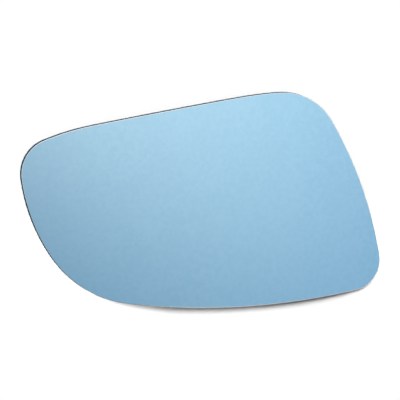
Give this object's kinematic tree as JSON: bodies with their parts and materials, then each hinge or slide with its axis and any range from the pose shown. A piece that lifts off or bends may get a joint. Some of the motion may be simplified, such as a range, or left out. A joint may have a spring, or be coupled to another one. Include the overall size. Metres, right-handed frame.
{
  "type": "car door mirror glass",
  "caption": "Convex glass of a car's left-hand door mirror: a thin blue-tinted reflecting pane, tall at the inboard end, rounded to a tip outboard, with a ground rim.",
  "frame": {"origin": "middle of the outline's bounding box, on the surface that the pane lies on", "axes": "+X along the pane towards its tall inboard end, +Y towards its upper edge on the car, +Z out of the reflecting face, which is up as it lies"},
  "size_m": [0.1806, 0.102, 0.0059],
  "materials": {
    "blue_mirror": "polished blue-tinted reflecting face, finely ground rim, dark painted back"
  },
  "bodies": {
    "root": {"mirror_glass": "blue_mirror"}
  },
  "joints": []
}
